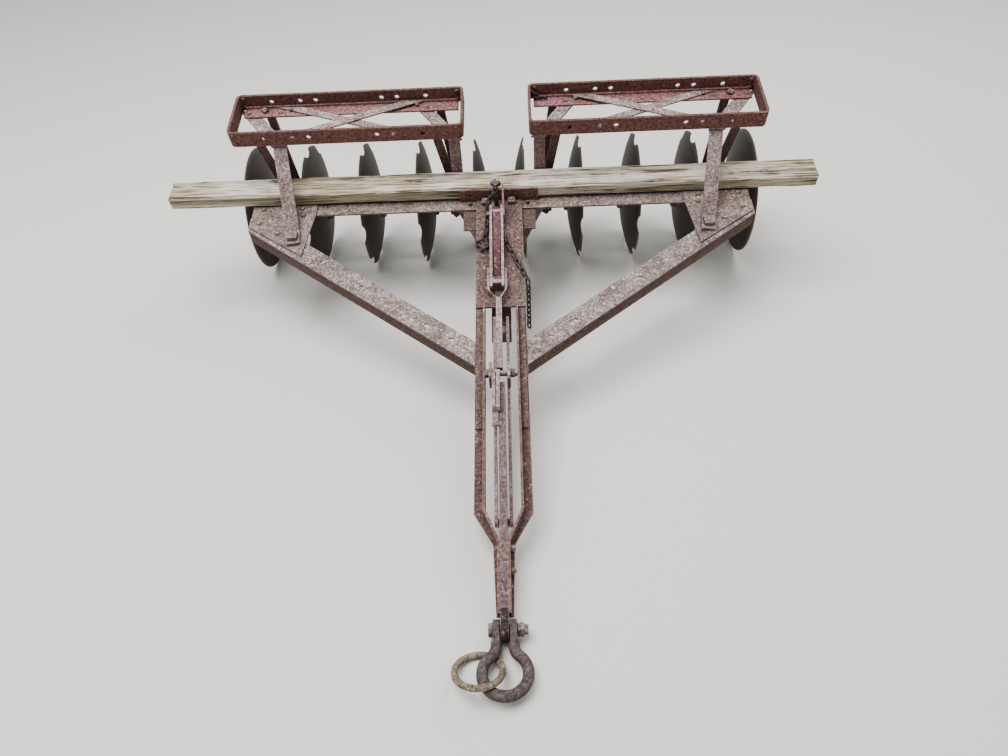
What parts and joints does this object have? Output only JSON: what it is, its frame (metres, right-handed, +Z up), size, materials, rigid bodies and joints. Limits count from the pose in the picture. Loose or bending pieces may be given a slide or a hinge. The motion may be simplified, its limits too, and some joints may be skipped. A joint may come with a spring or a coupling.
{
  "type": "disc harrow",
  "caption": "Towed two-gang disc harrow with notched discs under open weight boxes, a braced drawbar with a trip slide and a clevis hitch, parked nose down.",
  "frame": {"origin": "middle of the footprint on the ground, under the parked machine", "axes": "+Z up, hitch toward -Y, disc gangs across X at the +Y end"},
  "size_m": [2.02, 1.8786, 0.6152],
  "materials": {
    "red_paint": "faded red oxide paint, chalky and rusting",
    "dark_paint": "dark red-brown paint over rust",
    "worn_paint": "pinkish weathered paint",
    "disc_steel": "dark rusted steel",
    "rusty_iron": "brown rusted iron",
    "forged_iron": "dark forged steel",
    "link_iron": "light brown rust",
    "weathered_timber": "grey weathered softwood"
  },
  "bodies": {
    "frame": {"tongue_left": "red_paint", "tongue_right": "red_paint", "tongue_core": "worn_paint", "cross_bar": "dark_paint", "brace_left": "red_paint", "brace_right": "red_paint", "gusset_left": "red_paint", "gusset_right": "red_paint", "deck_plate": "worn_paint", "splice_plate": "dark_paint", "beam_bracket": "red_paint", "timber_beam": "weathered_timber", "pivot_bolt_left": "rusty_iron", "pivot_bolt_right": "rusty_iron", "trip_lever": "red_paint", "link_fork": "worn_paint", "latch_arm": "red_paint", "hitch_bolt": "forged_iron"},
    "slide": {"slide_bars": "worn_paint", "slide_head": "dark_paint"},
    "hitch": {"clevis": "forged_iron", "hitch_link": "link_iron"},
    "gang_frame_left": {"weight_box_left": "red_paint", "angle_rail_left": "worn_paint", "cross_straps_left": "worn_paint", "outer_strap_left": "red_paint", "inner_strap_left": "worn_paint", "standard_outer_left": "dark_paint", "standard_inner_left": "dark_paint"},
    "disc_gang_left": {"axle_left": "rusty_iron", "spools_left": "rusty_iron", "plain_disc_left": "disc_steel", "notched_discs_left": "disc_steel"},
    "gang_frame_right": {"weight_box_right": "red_paint", "angle_rail_right": "worn_paint", "cross_straps_right": "worn_paint", "outer_strap_right": "red_paint", "inner_strap_right": "worn_paint", "standard_outer_right": "dark_paint", "standard_inner_right": "dark_paint"},
    "disc_gang_right": {"axle_right": "rusty_iron", "spools_right": "rusty_iron", "plain_disc_right": "disc_steel", "notched_discs_right": "disc_steel"}
  },
  "joints": [
    {"name": "gang_left_angle", "type": "hinge", "parent": "frame", "child": "gang_frame_left", "pos_m": [-0.621, 0.34458, 0.31611], "axis": [0, -0.2447, 0.9696], "range_deg": [0, 16]},
    {"name": "gang_right_angle", "type": "hinge", "parent": "frame", "child": "gang_frame_right", "pos_m": [0.621, 0.34458, 0.31611], "axis": [0, 0.2447, -0.9696], "range_deg": [0, 16]},
    {"name": "slide_travel", "type": "slide", "parent": "frame", "child": "slide", "axis": [0, 0.9696, 0.2447], "range_m": [0, 0.17475]},
    {"name": "disc_gang_left_spin", "type": "hinge", "parent": "gang_frame_left", "child": "disc_gang_left", "pos_m": [-0.45, 0.73612, 0.2032], "axis": [1, 0, 0], "continuous": true},
    {"name": "disc_gang_right_spin", "type": "hinge", "parent": "gang_frame_right", "child": "disc_gang_right", "pos_m": [0.45, 0.73612, 0.2032], "axis": [1, 0, 0], "continuous": true},
    {"name": "hitch_swing", "type": "hinge", "parent": "frame", "child": "hitch", "pos_m": [0, -0.79146, 0.028], "axis": [-1, 0, 0], "range_deg": [-60, 80]}
  ],
  "couplings": [
    {"joint": "gang_right_angle", "follows": "gang_left_angle", "ratio": 1},
    {"joint": "slide_travel", "follows": "gang_left_angle", "m_per_rad": 0.62507}
  ]
}
